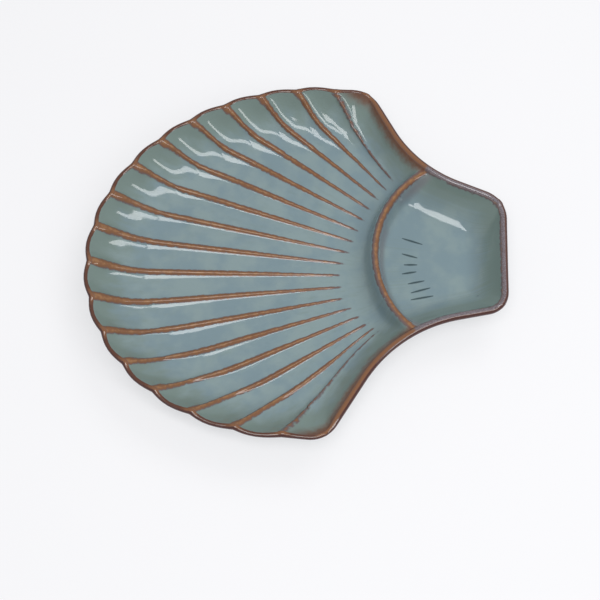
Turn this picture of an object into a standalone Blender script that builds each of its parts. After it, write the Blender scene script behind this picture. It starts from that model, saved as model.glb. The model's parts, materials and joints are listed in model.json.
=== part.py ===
"""Scallop-shell platter with a dip well at its hinge end, glazed stoneware, in one piece.

The fan of the shell opens towards -X and its ribs run to a notch each in the lobed rim. A divider in
the shape of an arc closes the fan well off from the dip well, which narrows into the grip at +X.
+Y is the side of the taller wing and +Z is up. The foot stands on z = 0, and the middle of the
outline's box is on the Z axis. Lengths are in metres and angles in degrees. Until it is centred, the
plan is drawn from the middle of the photographed outline.
"""

import bmesh
import bpy
import numpy as np

# Heights, from the surface that the foot stands on
FOOT_HEIGHT = 0.0030
RIM_HEIGHT = 0.0286  # underside of the lip
DIVIDER_HEIGHT = 0.0270

# Walls: how far each reaches into the plan, and the power that says how sharply it turns up
WALL = 0.0050
FAN_WALL_REACH = 0.0550
SIDE_WALL_REACH = 0.0260
GRIP_WALL_REACH = 0.0240
FAN_WALL_POWER = 3.0
SIDE_WALL_POWER = 2.4
GRIP_WALL_POWER = 2.5
CORNER_POWER = 2.5  # tightness of the corner where two walls meet
LIP_ROUND = 0.0021

# Fan rim: an ellipse whose bays between the notches bulge outwards
RIM_CENTRE = (0.0086, 0.0009)
RIM_HALF_LENGTH = 0.1549
RIM_HALF_WIDTH = 0.1300
RIM_TURN = 7.0
LOBE_BULGE = 0.0022

# Ribs: they spread from the hub, the middle one at RIB_AIM from -X
HUB = (0.1185, -0.0044)
RIBS = 17
RIB_AIM = 6.0
RIB_PITCH = 5.85
RIB_WIDENING = 0.07  # share by which the pitch has grown at the outermost ribs
RIB_HEIGHT = 0.0014
RIB_SHARE = 0.075  # half-width of a rib, as a share of its flute
FLUTE_DEPTH = 0.0013
RIB_AT_LIP = 0.4  # share of a rib's height that is left where it runs into the lip

# Inner tips of the ribs: a bell over the ribs' numbers of their distance from the divider
TIP_OUTERMOST = 0.0125
TIP_BELL_HEIGHT = 0.0135
TIP_BELL_RIB = -2.2
TIP_BELL_SPREAD = 3.6

# Wing tips: how far each corner stands out of the rim's ellipse, and the radius that rounds it
WING_UPPER = (0.0043, 0.0240)
WING_LOWER = (0.0049, 0.0220)
WING_AIM = 8.24  # turn from the outermost rib to a wing's corner

# Corners of the neck and the grip: x, y and the radius that rounds them
NECK_UPPER = (0.0862, 0.0699, 0.0880)
GRIP_UPPER = (0.1482, 0.0439, 0.0230)
GRIP_LOWER = (0.1454, -0.0408, 0.0175)
NECK_LOWER = (0.0699, -0.0550, 0.0970)

# Divider: an arc, and where the ribs' lines meet it as angles round its centre
DIVIDER_CENTRE = (0.1268, 0.0023)
DIVIDER_RADIUS = 0.0730
DIVIDER_HALF_FAN = 0.0039  # half-widths at half height, on the fan's side and the dip well's
DIVIDER_HALF_DIP = 0.0044
DIVIDER_AIM = -2.1
DIVIDER_PITCH = 5.39
DIVIDER_SKEW_TURN = 0.131

# Foot: a plain ring that runs where the underside has begun to rise
FOOT_WIDTH = 0.0050
FOOT_SEAT = 0.0036  # how far it reaches up into the wall
FOOT_AT_RISE = 0.0012

# Fineness of the mesh
FLUTE_COLUMNS = (0.0, 0.1, 0.34, 0.66, 0.9)
OUTER_COLUMNS = (0.0, 0.1, 0.5, 0.8, 1.0)  # in the flute beside each wing's edge
OUTER_SHARE = 0.22  # share of the grip's end that is given to the outermost columns
BENT_FLUTES = 3  # flutes beside each wing's edge whose columns bend with it
DIVIDER_ROWS = (0.0, 0.45, 1.0, 2.0)  # in half-widths of the divider
FAN_ROWS = (0.14, 0.22, 0.34, 0.50, 0.66, 0.79, 0.89, 0.955, 1.0)  # shares of the way to the edge row
DIP_ROWS = (0.22, 0.44, 0.64, 0.79, 0.91, 1.0)
EDGE_ROW = 0.0050  # distance of the row beside the edge
ARC_POINTS = 17
LINE_POINTS = 361
FOOT_POINTS = 96
LIP_SEGMENTS = 2

LAST = (RIBS + 1) // 2  # column number of the upper side, the lower one is -LAST


def clear_scene():
    """Remove whatever the scene holds."""
    for item in list(bpy.data.objects):
        bpy.data.objects.remove(item, do_unlink=True)


def direction(angle):
    """Unit vectors at angles measured from -X towards +Y."""
    turn = np.radians(angle)
    return np.stack([-np.cos(turn), np.sin(turn)], axis=-1)


def ellipse_hit(angle):
    """Points of the rim's ellipse that the rays from the hub reach at the given angles."""
    turn = np.radians(RIM_TURN)
    to_ellipse = np.array([[np.cos(turn), np.sin(turn)], [-np.sin(turn), np.cos(turn)]])
    half = np.array([RIM_HALF_LENGTH, RIM_HALF_WIDTH])
    start = to_ellipse @ (np.array(HUB) - RIM_CENTRE) / half
    ray = direction(angle) @ to_ellipse.T / half
    along = ray @ start
    square = (ray**2).sum(-1)
    reach = (np.sqrt(along**2 - square * (start @ start - 1)) - along) / square
    return np.array(HUB) + direction(angle) * reach[..., None]


def rib_angle(column):
    """Direction of a column from the hub to the rim; ribs have whole numbers, the middle one 0."""
    share = np.abs(column) / (LAST - 1)
    return RIB_AIM + RIB_PITCH * column * (1 + RIB_WIDENING * share**4)


def wing_corner(side, beyond, radius):
    """The corner of a wing, +1 for the upper and -1 for the lower: x, y and its radius."""
    angle = rib_angle(side * (LAST - 1)) + side * WING_AIM
    point = ellipse_hit(angle) + direction(angle) * beyond
    return (*point, radius)


def steps_along(line):
    """Length of a line of points from its start to each of them."""
    return np.concatenate([[0.0], np.cumsum(np.hypot(*np.diff(line, axis=0).T))])


def point_along(line, distance):
    """Points that lie at the given lengths along a line."""
    steps = steps_along(line)
    return np.stack([np.interp(distance, steps, line[:, axis]) for axis in (0, 1)], axis=-1)


def rounded(before, corner, after):
    """The two halves of the arc that rounds a corner between straight stretches."""
    middle, radius = np.array(corner[:2]), corner[2]
    back = np.array(before[:2]) - middle
    ahead = np.array(after[:2]) - middle
    back, ahead = back / np.hypot(*back), ahead / np.hypot(*ahead)
    half_angle = np.arccos(back @ ahead) / 2
    bisector = (back + ahead) / np.hypot(*(back + ahead))
    centre = middle + bisector * radius / np.sin(half_angle)
    sweep = np.pi / 2 - half_angle
    side = np.sign(back[0] * ahead[1] - back[1] * ahead[0])
    turns = side * np.linspace(-sweep, sweep, ARC_POINTS)
    spoke = -bisector * radius
    across = np.array([-spoke[1], spoke[0]])
    arc = centre + np.outer(np.cos(turns), spoke) - np.outer(np.sin(turns), across)
    if np.hypot(*(arc[0] - before[:2])) > np.hypot(*(arc[-1] - before[:2])):
        arc = arc[::-1]
    return arc[: ARC_POINTS // 2 + 1], arc[ARC_POINTS // 2 :]


def outline(bulge):
    """The plan's edges, as lines of points: fan rim, upper side, lower side and grip end.

    The rim runs from the upper wing tip to the lower one, its bays bulging out by the given length,
    and each side runs from a wing tip to the grip.
    """
    outer_rib = LAST - 1
    ends = ellipse_hit(rib_angle(np.array([outer_rib, -outer_rib])))
    wings = [wing_corner(1, *WING_UPPER), wing_corner(-1, *WING_LOWER)]
    corners = [wings[0], NECK_UPPER, GRIP_UPPER, GRIP_LOWER, NECK_LOWER, wings[1]]
    route = [tuple(ends[0]), *corners, tuple(ends[1])]
    halves = [rounded(*route[i : i + 3]) for i in range(len(corners))]
    wing_upper, neck_upper, grip_upper, grip_lower, neck_lower, wing_lower = halves
    column = np.linspace(outer_rib, -outer_rib, LINE_POINTS)
    bays = ellipse_hit(rib_angle(column))
    bays += direction(rib_angle(column)) * bulge * np.abs(np.sin(np.pi * column))[:, None]
    rim = [wing_upper[0][::-1], bays, wing_lower[1][::-1]]
    upper = [wing_upper[1], *neck_upper, grip_upper[0]]
    lower = [wing_lower[0][::-1], neck_lower[1][::-1], neck_lower[0][::-1], grip_lower[1][::-1]]
    grip = [grip_upper[1], grip_lower[0]]
    return [np.concatenate(stretch) for stretch in (rim, upper, lower, grip)]


def divider_end(side):
    """Length along a side, from the wing tip, at which the divider's arc meets it."""
    steps = steps_along(side)
    fine = np.linspace(0, steps[-1], 4 * LINE_POINTS)
    away = np.hypot(*(point_along(side, fine) - DIVIDER_CENTRE).T) - DIVIDER_RADIUS
    return fine[np.argmax(away < 0)]


def distance_to(points, line):
    """Distance in plan from each point to a line of points."""
    start, step = line[:-1], np.diff(line, axis=0)
    square = np.maximum((step**2).sum(1), 1e-18)
    gap = points[:, None] - start
    share = np.clip((gap * step).sum(2) / square, 0, 1)
    return np.hypot(*(gap - share[..., None] * step).transpose(2, 0, 1)).min(1)


def wall_level(points, lines):
    """Share of the full rise at points of the plan: 1 at an edge, 0 on the floor.

    Each wall rises as a power of the closeness to its edge, and leaves the rest of the drop below it.
    Where walls meet, the inverse powers of their drops add up, so they run into each other in a soft
    corner that still falls steeply from a rounded edge.
    """
    side_wall = (SIDE_WALL_REACH, SIDE_WALL_POWER)
    walls = [(FAN_WALL_REACH, FAN_WALL_POWER), side_wall, side_wall, (GRIP_WALL_REACH, GRIP_WALL_POWER)]
    crowding = np.ones(len(points))
    for line, (reach, power) in zip(lines, walls):
        drop = 1 - np.clip(1 - distance_to(points, line) / reach, 0, 1) ** power
        crowding += np.maximum(drop, 1e-6) ** -CORNER_POWER - 1
    return 1 - crowding ** (-1 / CORNER_POWER)


def patch(near, far, side_upper, side_lower, widths, rows, columns):
    """Grid of plan points between two lines with a point for each column, from the divider outwards.

    Columns run straight from near to far, and the ones beside a side bend towards that side's line.
    The first rows are at the given widths from the divider, the next at the given shares of the way
    to the row beside the edge, and the last is the edge.
    """
    length = np.hypot(*(far - near).T)
    inner = 1 - EDGE_ROW / length
    share = np.stack([width / length for width in widths] + [row * inner for row in rows]
                     + [np.ones_like(length)])
    grid = near + share[..., None] * (far - near)
    for side, edge, sign in ((side_upper, 0, 1), (side_lower, -1, -1)):
        total = steps_along(side)[-1]
        bend = point_along(side, share[:, edge] * total) - grid[:, edge]
        weight = np.clip(1 - (LAST - sign * columns) / BENT_FLUTES, 0, 1) ** 2
        grid = grid + weight[None, :, None] * bend[:, None, :]
    return grid


def plan_grid(lines):
    """Plan points of the platter, as rows from the fan rim to the grip end, and the column numbers."""
    rim, upper, lower, grip = lines
    inner = np.arange(1 - LAST, LAST)
    outer = LAST - 1 + np.array(OUTER_COLUMNS)
    between = (inner[:-1, None] + np.array(FLUTE_COLUMNS)).ravel()
    columns = np.concatenate([-outer[:0:-1], between, outer])[::-1]
    cuts = [divider_end(side) for side in (upper, lower)]
    ends = [point_along(side, np.array([cut])) for side, cut in zip((upper, lower), cuts)]
    from_centre = [(end - DIVIDER_CENTRE)[0] for end in ends]
    limits = [np.degrees(np.arctan2(gap[1], -gap[0])) for gap in from_centre]
    knots = np.concatenate([[-LAST], inner, [LAST]])
    turns = DIVIDER_AIM + DIVIDER_PITCH * inner + DIVIDER_SKEW_TURN * inner**2
    turn = np.interp(columns, knots, np.concatenate([[limits[1]], turns, [limits[0]]]))
    crest = DIVIDER_CENTRE + DIVIDER_RADIUS * direction(turn)

    steps = steps_along(rim)
    first = ARC_POINTS // 2 + 1
    marks = np.concatenate([[0.0], steps[first : first + LINE_POINTS], [steps[-1]]])
    numbers = np.concatenate([[LAST], np.linspace(LAST - 1, 1 - LAST, LINE_POINTS), [-LAST]])
    edge = point_along(rim, np.interp(-columns, -numbers, marks))
    outermost = [-LAST, 1 - LAST, LAST - 1, LAST]
    share = np.interp(columns, outermost, [1, 1 - OUTER_SHARE, OUTER_SHARE, 0])
    end = point_along(grip, share * steps_along(grip)[-1])

    fan_sides = [part_of(side, cut, 0.0) for side, cut in zip((upper, lower), cuts)]
    dip_sides = [part_of(side, cut, steps_along(side)[-1]) for side, cut in zip((upper, lower), cuts)]
    widths = np.array(DIVIDER_ROWS)
    fan = patch(crest, edge, *fan_sides, widths * DIVIDER_HALF_FAN, FAN_ROWS, columns)
    dip = patch(crest, end, *dip_sides, widths * DIVIDER_HALF_DIP, DIP_ROWS, columns)
    return np.concatenate([fan[::-1], dip[1:]]), columns


def part_of(line, start, end):
    """The stretch of a line between two lengths along it, in that order."""
    return point_along(line, np.linspace(start, end, LINE_POINTS))


def wall_thickness(grid, columns):
    """Thickness over the grid: the plain wall, and over the fan the ribs and the flutes' flanks."""
    crest = len(FAN_ROWS) + len(DIVIDER_ROWS)
    way = np.hypot(*(grid[: crest + 1] - grid[crest]).transpose(2, 0, 1))
    tip = TIP_OUTERMOST + TIP_BELL_HEIGHT * np.exp(
        -(((np.round(columns) - TIP_BELL_RIB) / TIP_BELL_SPREAD) ** 2))
    grown = np.clip((way - tip) / (way[0] - tip), 0, 1)
    off_rib = np.abs(columns - np.round(columns))
    outermost = np.abs(np.round(columns)) == LAST
    ridge = RIB_HEIGHT * np.exp(-((off_rib / RIB_SHARE) ** 2)) * np.sqrt(grown) * ~outermost
    flank = FLUTE_DEPTH * (1 - np.sin(np.pi * off_rib)) * grown**2 * ~outermost
    relief = ridge + flank
    relief[0] *= RIB_AT_LIP
    dip = np.zeros((len(grid) - len(relief), len(columns)))
    return WALL + np.concatenate([relief, dip])


def grid_faces(rows, columns):
    """Corner numbers of the grid's four-sided faces, counted so that they look up.

    The face in each corner of the grid is halved through the corner, where the edge's arc is round.
    """
    corner = np.arange(rows * columns).reshape(rows, columns)
    faces = np.stack([corner[:-1, :-1], corner[:-1, 1:], corner[1:, 1:], corner[1:, :-1]], axis=-1)
    tips = {(0, 0): 0, (0, columns - 2): 1, (rows - 2, columns - 2): 2, (rows - 2, 0): 3}
    whole = []
    for place, face in zip(np.ndindex(rows - 1, columns - 1), faces.reshape(-1, 4).tolist()):
        if place in tips:
            turned = face[tips[place] :] + face[: tips[place]]
            whole += [turned[:3], [turned[0], *turned[2:]]]
        else:
            whole.append(face)
    return whole


def evaluated_mesh(item):
    """A new mesh with the object's modifiers in it."""
    graph = bpy.context.evaluated_depsgraph_get()
    return bpy.data.meshes.new_from_object(item.evaluated_get(graph))


def shell_mesh(underside, thickness, faces):
    """The open underside thickened upwards, by Solidify, to the given thickness at each point."""
    mesh = bpy.data.meshes.new("underside")
    mesh.from_pydata(underside.tolist(), [], faces)
    sheet = bpy.data.objects.new("underside", mesh)
    bpy.context.scene.collection.objects.link(sheet)
    thickest = thickness.max()
    group = sheet.vertex_groups.new(name="thickness")
    for number, weight in enumerate((thickness / thickest).tolist()):
        group.add([number], weight, "REPLACE")
    solidify = sheet.modifiers.new("wall", "SOLIDIFY")
    solidify.thickness = thickest
    solidify.offset = 1.0
    solidify.vertex_group = group.name
    solidify.use_quality_normals = True
    shell = evaluated_mesh(sheet)
    bpy.data.objects.remove(sheet, do_unlink=True)
    bpy.data.meshes.remove(mesh)
    return shell


def raise_divider(shell, count, shift):
    """Lift the upper skin, whose points come before the underside's, into the divider's ridge."""
    points = np.empty(len(shell.vertices) * 3, dtype=np.float32)
    shell.vertices.foreach_get("co", points)
    points = points.reshape(-1, 3).astype(float)
    top = points[:count]
    away = np.hypot(*(top[:, :2] + shift - DIVIDER_CENTRE).T) - DIVIDER_RADIUS
    half = np.where(away > 0, DIVIDER_HALF_FAN, DIVIDER_HALF_DIP)
    bell = 1 / (1 + (np.abs(away) / half) ** 4)
    top[:, 2] += np.maximum(DIVIDER_HEIGHT - top[:, 2], 0) * bell
    shell.vertices.foreach_set("co", points.astype(np.float32).ravel())
    shell.update()


def mark_lip(shell, count, rows, columns):
    """Give the two edges of the lip a bevel weight of 1."""
    corner = np.arange(rows * columns).reshape(rows, columns)
    loop = np.concatenate([corner[0], corner[1:, -1], corner[-1, -2::-1], corner[-2:0:-1, 0]])
    pairs = np.stack([loop, np.roll(loop, -1)], axis=1)
    wanted = {tuple(sorted(pair)) for pair in np.concatenate([pairs, pairs + count]).tolist()}
    work = bmesh.new()
    work.from_mesh(shell)
    weight = work.edges.layers.float.new("bevel_weight_edge")
    for edge in work.edges:
        ends = tuple(sorted(vertex.index for vertex in edge.verts))
        edge[weight] = 1.0 if ends in wanted else 0.0
    work.to_mesh(shell)
    work.free()


def foot_route(shift):
    """The line that the foot follows, found by halving along rays from the middle of the fan."""
    lines = outline(bulge=0.0)
    turn = np.linspace(0, 2 * np.pi, FOOT_POINTS, endpoint=False)
    ray = np.stack([np.cos(turn), np.sin(turn)], axis=1)
    near, far = np.zeros(FOOT_POINTS), np.full(FOOT_POINTS, RIM_HALF_LENGTH)
    wanted = FOOT_AT_RISE / (RIM_HEIGHT - FOOT_HEIGHT)
    inside = np.array(RIM_CENTRE)
    for _ in range(30):
        middle = (near + far) / 2
        risen = wall_level(inside + ray * middle[:, None], lines) > wanted
        far = np.where(risen, middle, far)
        near = np.where(risen, near, middle)
    return inside + ray * near[:, None] - shift


def foot_ring(route, cutters):
    """The foot as a solid ring, an outline with a hole that is extruded from the ground up."""
    along = np.roll(route, -1, axis=0) - np.roll(route, 1, axis=0)
    across = np.stack([along[:, 1], -along[:, 0]], axis=1) / np.hypot(*along.T)[:, None]
    height = FOOT_HEIGHT + FOOT_SEAT
    curve = bpy.data.curves.new("foot", "CURVE")
    curve.dimensions = "2D"
    curve.fill_mode = "BOTH"
    curve.extrude = height / 2
    for offset in (FOOT_WIDTH / 2, -FOOT_WIDTH / 2):
        ring = route + across * offset
        spline = curve.splines.new("POLY")
        spline.points.add(len(ring) - 1)
        spline.use_cyclic_u = True
        for point, (x, y) in zip(spline.points, ring):
            point.co = (x, y, 0.0, 1.0)
    drawn = bpy.data.objects.new("foot_outline", curve)
    bpy.context.scene.collection.objects.link(drawn)
    drawn.location.z = height / 2
    bpy.context.view_layer.update()
    mesh = evaluated_mesh(drawn)
    work = bmesh.new()
    work.from_mesh(mesh)
    bmesh.ops.remove_doubles(work, verts=work.verts, dist=1e-6)
    work.to_mesh(mesh)
    work.free()
    ring = bpy.data.objects.new("foot", mesh)
    ring.matrix_world = drawn.matrix_world
    bpy.data.objects.remove(drawn, do_unlink=True)
    ring.hide_render = True
    ring.display_type = "WIRE"
    cutters.objects.link(ring)
    return ring


def glaze():
    """Blue-grey reactive glaze over stoneware, taken as one even colour."""
    material = bpy.data.materials.new("glaze")
    material.use_nodes = True
    shader = material.node_tree.nodes["Principled BSDF"]
    shader.inputs["Base Color"].default_value = (0.22, 0.32, 0.34, 1.0)
    shader.inputs["Roughness"].default_value = 0.18
    shader.inputs["Metallic"].default_value = 0.0
    return material


def build():
    """Model the platter."""
    clear_scene()
    parts = bpy.data.collections.new("shell_platter")
    cutters = bpy.data.collections.new("cutters")
    for group in (parts, cutters):
        bpy.context.scene.collection.children.link(group)

    lines = outline(LOBE_BULGE)
    every = np.concatenate(lines)
    shift = (every.min(0) + every.max(0)) / 2
    grid, columns = plan_grid(lines)
    rows = len(grid)
    plan = grid.reshape(-1, 2)
    height = FOOT_HEIGHT + (RIM_HEIGHT - FOOT_HEIGHT) * wall_level(plan, lines)
    underside = np.column_stack([plan - shift, height])
    thickness = wall_thickness(grid, columns).ravel()
    shell = shell_mesh(underside, thickness, grid_faces(rows, len(columns)))
    raise_divider(shell, len(plan), shift)
    mark_lip(shell, len(plan), rows, len(columns))

    platter = bpy.data.objects.new("platter", shell)
    shell.name = "platter"
    shell.materials.clear()
    shell.materials.append(glaze())
    parts.objects.link(platter)
    lip = platter.modifiers.new("lip", "BEVEL")
    lip.limit_method = "WEIGHT"
    lip.width = LIP_ROUND
    lip.segments = LIP_SEGMENTS
    lip.use_clamp_overlap = False
    union = platter.modifiers.new("foot", "BOOLEAN")
    union.operation = "UNION"
    union.solver = "EXACT"
    union.object = foot_ring(foot_route(shift), cutters)
    shell.shade_smooth()
    shell.set_sharp_from_angle(angle=np.radians(50))


build()
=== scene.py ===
"""Picture of the scallop-shell platter: its surfaces, its reactive glaze, and the studio around it.

The platter lies on z = 0 with its fan open towards -X, its grip at +X and its taller wing at +Y.
Lengths are in metres and angles in degrees, unless a name ends in _mm. The plan is drawn from the
middle of the photographed outline, and moved onto the Z axis when the mesh is made.
"""

import json
import logging
from dataclasses import dataclass, field
from enum import Enum

import bpy
import numpy as np
from mathutils import Matrix, Vector

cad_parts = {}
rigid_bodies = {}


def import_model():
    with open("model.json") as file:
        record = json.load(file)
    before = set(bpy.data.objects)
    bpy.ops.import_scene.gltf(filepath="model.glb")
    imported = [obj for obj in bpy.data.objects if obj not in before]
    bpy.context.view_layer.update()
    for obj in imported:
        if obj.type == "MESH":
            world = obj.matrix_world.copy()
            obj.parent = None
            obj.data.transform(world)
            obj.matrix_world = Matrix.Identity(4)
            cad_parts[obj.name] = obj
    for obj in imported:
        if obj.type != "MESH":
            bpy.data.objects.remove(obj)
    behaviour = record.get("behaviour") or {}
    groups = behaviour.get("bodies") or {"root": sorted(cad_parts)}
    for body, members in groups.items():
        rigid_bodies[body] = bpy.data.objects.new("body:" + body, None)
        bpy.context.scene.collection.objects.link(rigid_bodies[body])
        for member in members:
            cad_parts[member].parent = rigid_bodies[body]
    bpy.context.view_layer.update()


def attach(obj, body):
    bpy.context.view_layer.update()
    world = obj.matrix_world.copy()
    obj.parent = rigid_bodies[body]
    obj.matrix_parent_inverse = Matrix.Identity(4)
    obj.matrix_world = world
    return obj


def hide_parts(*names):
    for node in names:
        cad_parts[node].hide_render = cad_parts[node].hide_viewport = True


for left_over in list(bpy.data.objects):
    bpy.data.objects.remove(left_over, do_unlink=True)
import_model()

LOG = logging.getLogger("platter")

Array = np.ndarray
Socket = bpy.types.NodeSocket
Bytes = tuple[int, int, int]
Pair = tuple[float, float]
Span = tuple[float, float]

# Millimetres in a metre, and a distance beyond every band of the glaze.
MM = 1000.0
FAR_MM = 50.0
# Points closer than this are one, and a step's square is never taken as smaller than this.
SAME_PLACE = 1e-7
LEAST_SQUARE = 1e-18
# How many rim points are measured to each column, and how much the rows draw together outwards.
RIM_SAMPLES = 16
ROW_CROWDING = 0.35


class Wall(Enum):
    """The walls of the platter, with how far each reaches into the plan and how sharply it turns up."""

    FAN = (0.0550, 3.0)
    UPPER = (0.0300, 2.2)
    LOWER = (0.0300, 2.2)
    GRIP = (0.0290, 2.1)


class Layer(Enum):
    """What a vertex of the mesh belongs to, as the number its `layer` attribute holds."""

    TOP = 0.0
    UNDER = 1.0
    FOOT = 2.0


def srgb(red: int, green: int, blue: int) -> tuple[float, float, float, float]:
    """Linear colour of a colour that is seen as the given bytes.

    Args:
        red: Red byte.
        green: Green byte.
        blue: Blue byte.

    Returns:
        Linear red, green and blue, and an alpha of 1.
    """
    seen = np.array([red, green, blue]) / 255
    linear = np.where(seen <= 0.04045, seen / 12.92, ((seen + 0.055) / 1.055) ** 2.4)
    return (*linear.tolist(), 1.0)


def direction(angle: Array) -> Array:
    """Unit vectors at angles measured from -X towards +Y."""
    turn = np.radians(angle)
    return np.stack([-np.cos(turn), np.sin(turn)], axis=-1)


def smooth(share: Array) -> Array:
    """Smooth step of a share: 3s^2 - 2s^3, with s held between 0 and 1."""
    held = np.clip(share, 0, 1)
    return held * held * (3 - 2 * held)


@dataclass(frozen=True)
class Line:
    """A line of plan points that can be measured along."""

    points: Array

    def steps(self) -> Array:
        """Length from the start to each point."""
        return np.concatenate([[0.0], np.cumsum(np.hypot(*np.diff(self.points, axis=0).T))])

    def at(self, distance: Array) -> Array:
        """Points at the given lengths, by straight interpolation between the line's own points."""
        steps = self.steps()
        return np.stack([np.interp(distance, steps, self.points[:, i]) for i in (0, 1)], axis=-1)

    def part(self, start: float, end: float, count: int = 361) -> "Line":
        """The stretch between two lengths, in that order, as evenly spaced points."""
        return Line(self.at(np.linspace(start, end, count)))

    def inset(self, width: float) -> "Line":
        """The line moved sideways: each point goes along its left-hand normal by the width."""
        along = np.gradient(self.points, axis=0)
        normal = np.stack([-along[:, 1], along[:, 0]], axis=-1) / np.hypot(*along.T)[:, None]
        return Line(self.points + normal * width)

    def distance(self, points: Array, block: int = 2000) -> Array:
        """Distance to each point, the least over the line's straight steps.

        Args:
            points: Plan points.
            block: How many points are measured at once.

        Returns:
            One distance for each point.
        """
        start, step = self.points[:-1], np.diff(self.points, axis=0)
        square = np.maximum((step**2).sum(1), LEAST_SQUARE)
        found = []
        for first in range(0, len(points), block):
            gap = points[first : first + block, None] - start
            share = np.clip((gap * step).sum(2) / square, 0, 1)
            found.append(np.hypot(*(gap - share[..., None] * step).transpose(2, 0, 1)).min(1))
        return np.concatenate(found)


@dataclass(frozen=True)
class Rim:
    """The fan's rim: a turned ellipse whose bays between the rib notches bulge outwards."""

    centre: Pair = (0.0086, 0.0009)
    half_length: float = 0.1549
    half_width: float = 0.1300
    turn: float = 7.0
    bulge: float = 0.0022

    def hit(self, hub: Pair, angle: Array) -> Array:
        """Where rays from the hub reach the ellipse.

        The ray is put into the ellipse's own frame and scaled until the ellipse is a unit circle, and
        the larger root of |start + reach * ray| = 1 gives the reach.

        Args:
            hub: Start of every ray, inside the ellipse.
            angle: Directions of the rays.

        Returns:
            One plan point for each angle.
        """
        turn = np.radians(self.turn)
        to_own = np.array([[np.cos(turn), np.sin(turn)], [-np.sin(turn), np.cos(turn)]])
        half = np.array([self.half_length, self.half_width])
        start = to_own @ (np.array(hub) - self.centre) / half
        ray = direction(angle) @ to_own.T / half
        along = ray @ start
        square = (ray**2).sum(-1)
        reach = (np.sqrt(along**2 - square * (start @ start - 1)) - along) / square
        return np.array(hub) + direction(angle) * reach[..., None]


@dataclass(frozen=True)
class Ribs:
    """The ribs that spread over the fan, and the flutes between them."""

    hub: Pair = (0.1185, -0.0044)
    count: int = 17
    aim: float = 6.0
    pitch: float = 5.85
    widening: float = 0.07
    height: float = 0.0014
    share: float = 0.075
    flute_depth: float = 0.0024
    flute_growth: float = 1.3
    at_lip: float = 0.35
    lip_reach: float = 0.0060
    tip_outer: float = 0.0125
    tip_inner: float = 0.0135
    tip_at: float = -2.2
    tip_spread: float = 3.6

    @property
    def last(self) -> int:
        """Column number of the upper side; the lower side has its negative."""
        return (self.count + 1) // 2

    def angle(self, column: Array) -> Array:
        """Direction of a column: aim + pitch * c * (1 + widening * (|c| / outermost rib)^4)."""
        return self.aim + self.pitch * column * (
            1 + self.widening * (np.abs(column) / (self.last - 1)) ** 4
        )

    def tip(self, column: Array) -> Array:
        """Distance from the divider's crest to a rib's inner tip, a bell over the column numbers."""
        return self.tip_outer + self.tip_inner * np.exp(
            -(((column - self.tip_at) / self.tip_spread) ** 2)
        )

    def relief(self, column: Array, grown: Array, edge: Array) -> Array:
        """Height of ribs and flute flanks over the plain wall.

        A rib is a Gaussian of the distance to the nearest rib line, in shares of the pitch, times the
        root of how far it has grown; the flanks are 1 - sin(pi * distance) times a power of grown.
        Both drop smoothly to a set share beside the lip.

        Args:
            column: Column numbers, a row.
            grown: Share of the way from the rib tips to the rim, rows by columns.
            edge: Distance to the outline, rows by columns.

        Returns:
            Heights along the surface's normal, rows by columns.
        """
        off = np.abs(column - np.round(column))[None, :]
        inside = (np.abs(np.round(column)) < self.last)[None, :]
        ridge = self.height * np.exp(-((off / self.share) ** 2)) * np.sqrt(grown)
        flank = self.flute_depth * (1 - np.sin(np.pi * off)) * grown**self.flute_growth
        kept = self.at_lip + (1 - self.at_lip) * smooth(edge / self.lip_reach)
        return (ridge + flank) * kept * inside


@dataclass(frozen=True)
class Corner:
    """A rounded corner of the plan."""

    x: float
    y: float
    radius: float

    @property
    def point(self) -> Pair:
        """Where the straight stretches on either side would meet."""
        return (self.x, self.y)

    def halves(self, before: Pair, after: Pair, count: int = 25) -> tuple[Array, Array]:
        """The arc that rounds the corner, cut at its middle.

        The arc's centre lies on the bisector, radius / sin(half angle) from the corner.

        Args:
            before: Corner or point before this one.
            after: Corner or point after this one.
            count: Odd number of points on the whole arc.

        Returns:
            The half beside `before` and the half beside `after`, in that order of travel.
        """
        middle = np.array(self.point)
        back, ahead = np.array(before) - middle, np.array(after) - middle
        back, ahead = back / np.hypot(*back), ahead / np.hypot(*ahead)
        half_angle = np.arccos(back @ ahead) / 2
        bisector = (back + ahead) / np.hypot(*(back + ahead))
        centre = middle + bisector * self.radius / np.sin(half_angle)
        sweep = np.pi / 2 - half_angle
        side = np.sign(back[0] * ahead[1] - back[1] * ahead[0])
        turns = side * np.linspace(-sweep, sweep, count)
        spoke = -bisector * self.radius
        across = np.array([-spoke[1], spoke[0]])
        arc = centre + np.outer(np.cos(turns), spoke) - np.outer(np.sin(turns), across)
        if np.hypot(*(arc[0] - before)) > np.hypot(*(arc[-1] - before)):
            arc = arc[::-1]
        return arc[: count // 2 + 1], arc[count // 2 :]


@dataclass(frozen=True)
class Divider:
    """The arc that closes the fan well off from the dip well."""

    centre: Pair = (0.1268, 0.0023)
    radius: float = 0.0730
    half_fan: float = 0.0039
    half_dip: float = 0.0044
    height: float = 0.0270
    aim: float = -2.1
    pitch: float = 5.39
    skew: float = 0.131

    def away(self, points: Array) -> Array:
        """Signed distance of plan points from the crest, positive on the fan's side."""
        return np.hypot(*(points - self.centre).T).T - self.radius

    def lift(self, away: Array, level: Array) -> Array:
        """Rise of the top: what is missing up to the crest, over 1 + (|away| / half-width)^4.

        Args:
            away: Signed distance from the crest.
            level: Height of the top without the divider.

        Returns:
            How far each point is lifted.
        """
        half = np.where(away > 0, self.half_fan, self.half_dip)
        return np.maximum(self.height - level, 0) / (1 + (np.abs(away) / half) ** 4)


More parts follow.
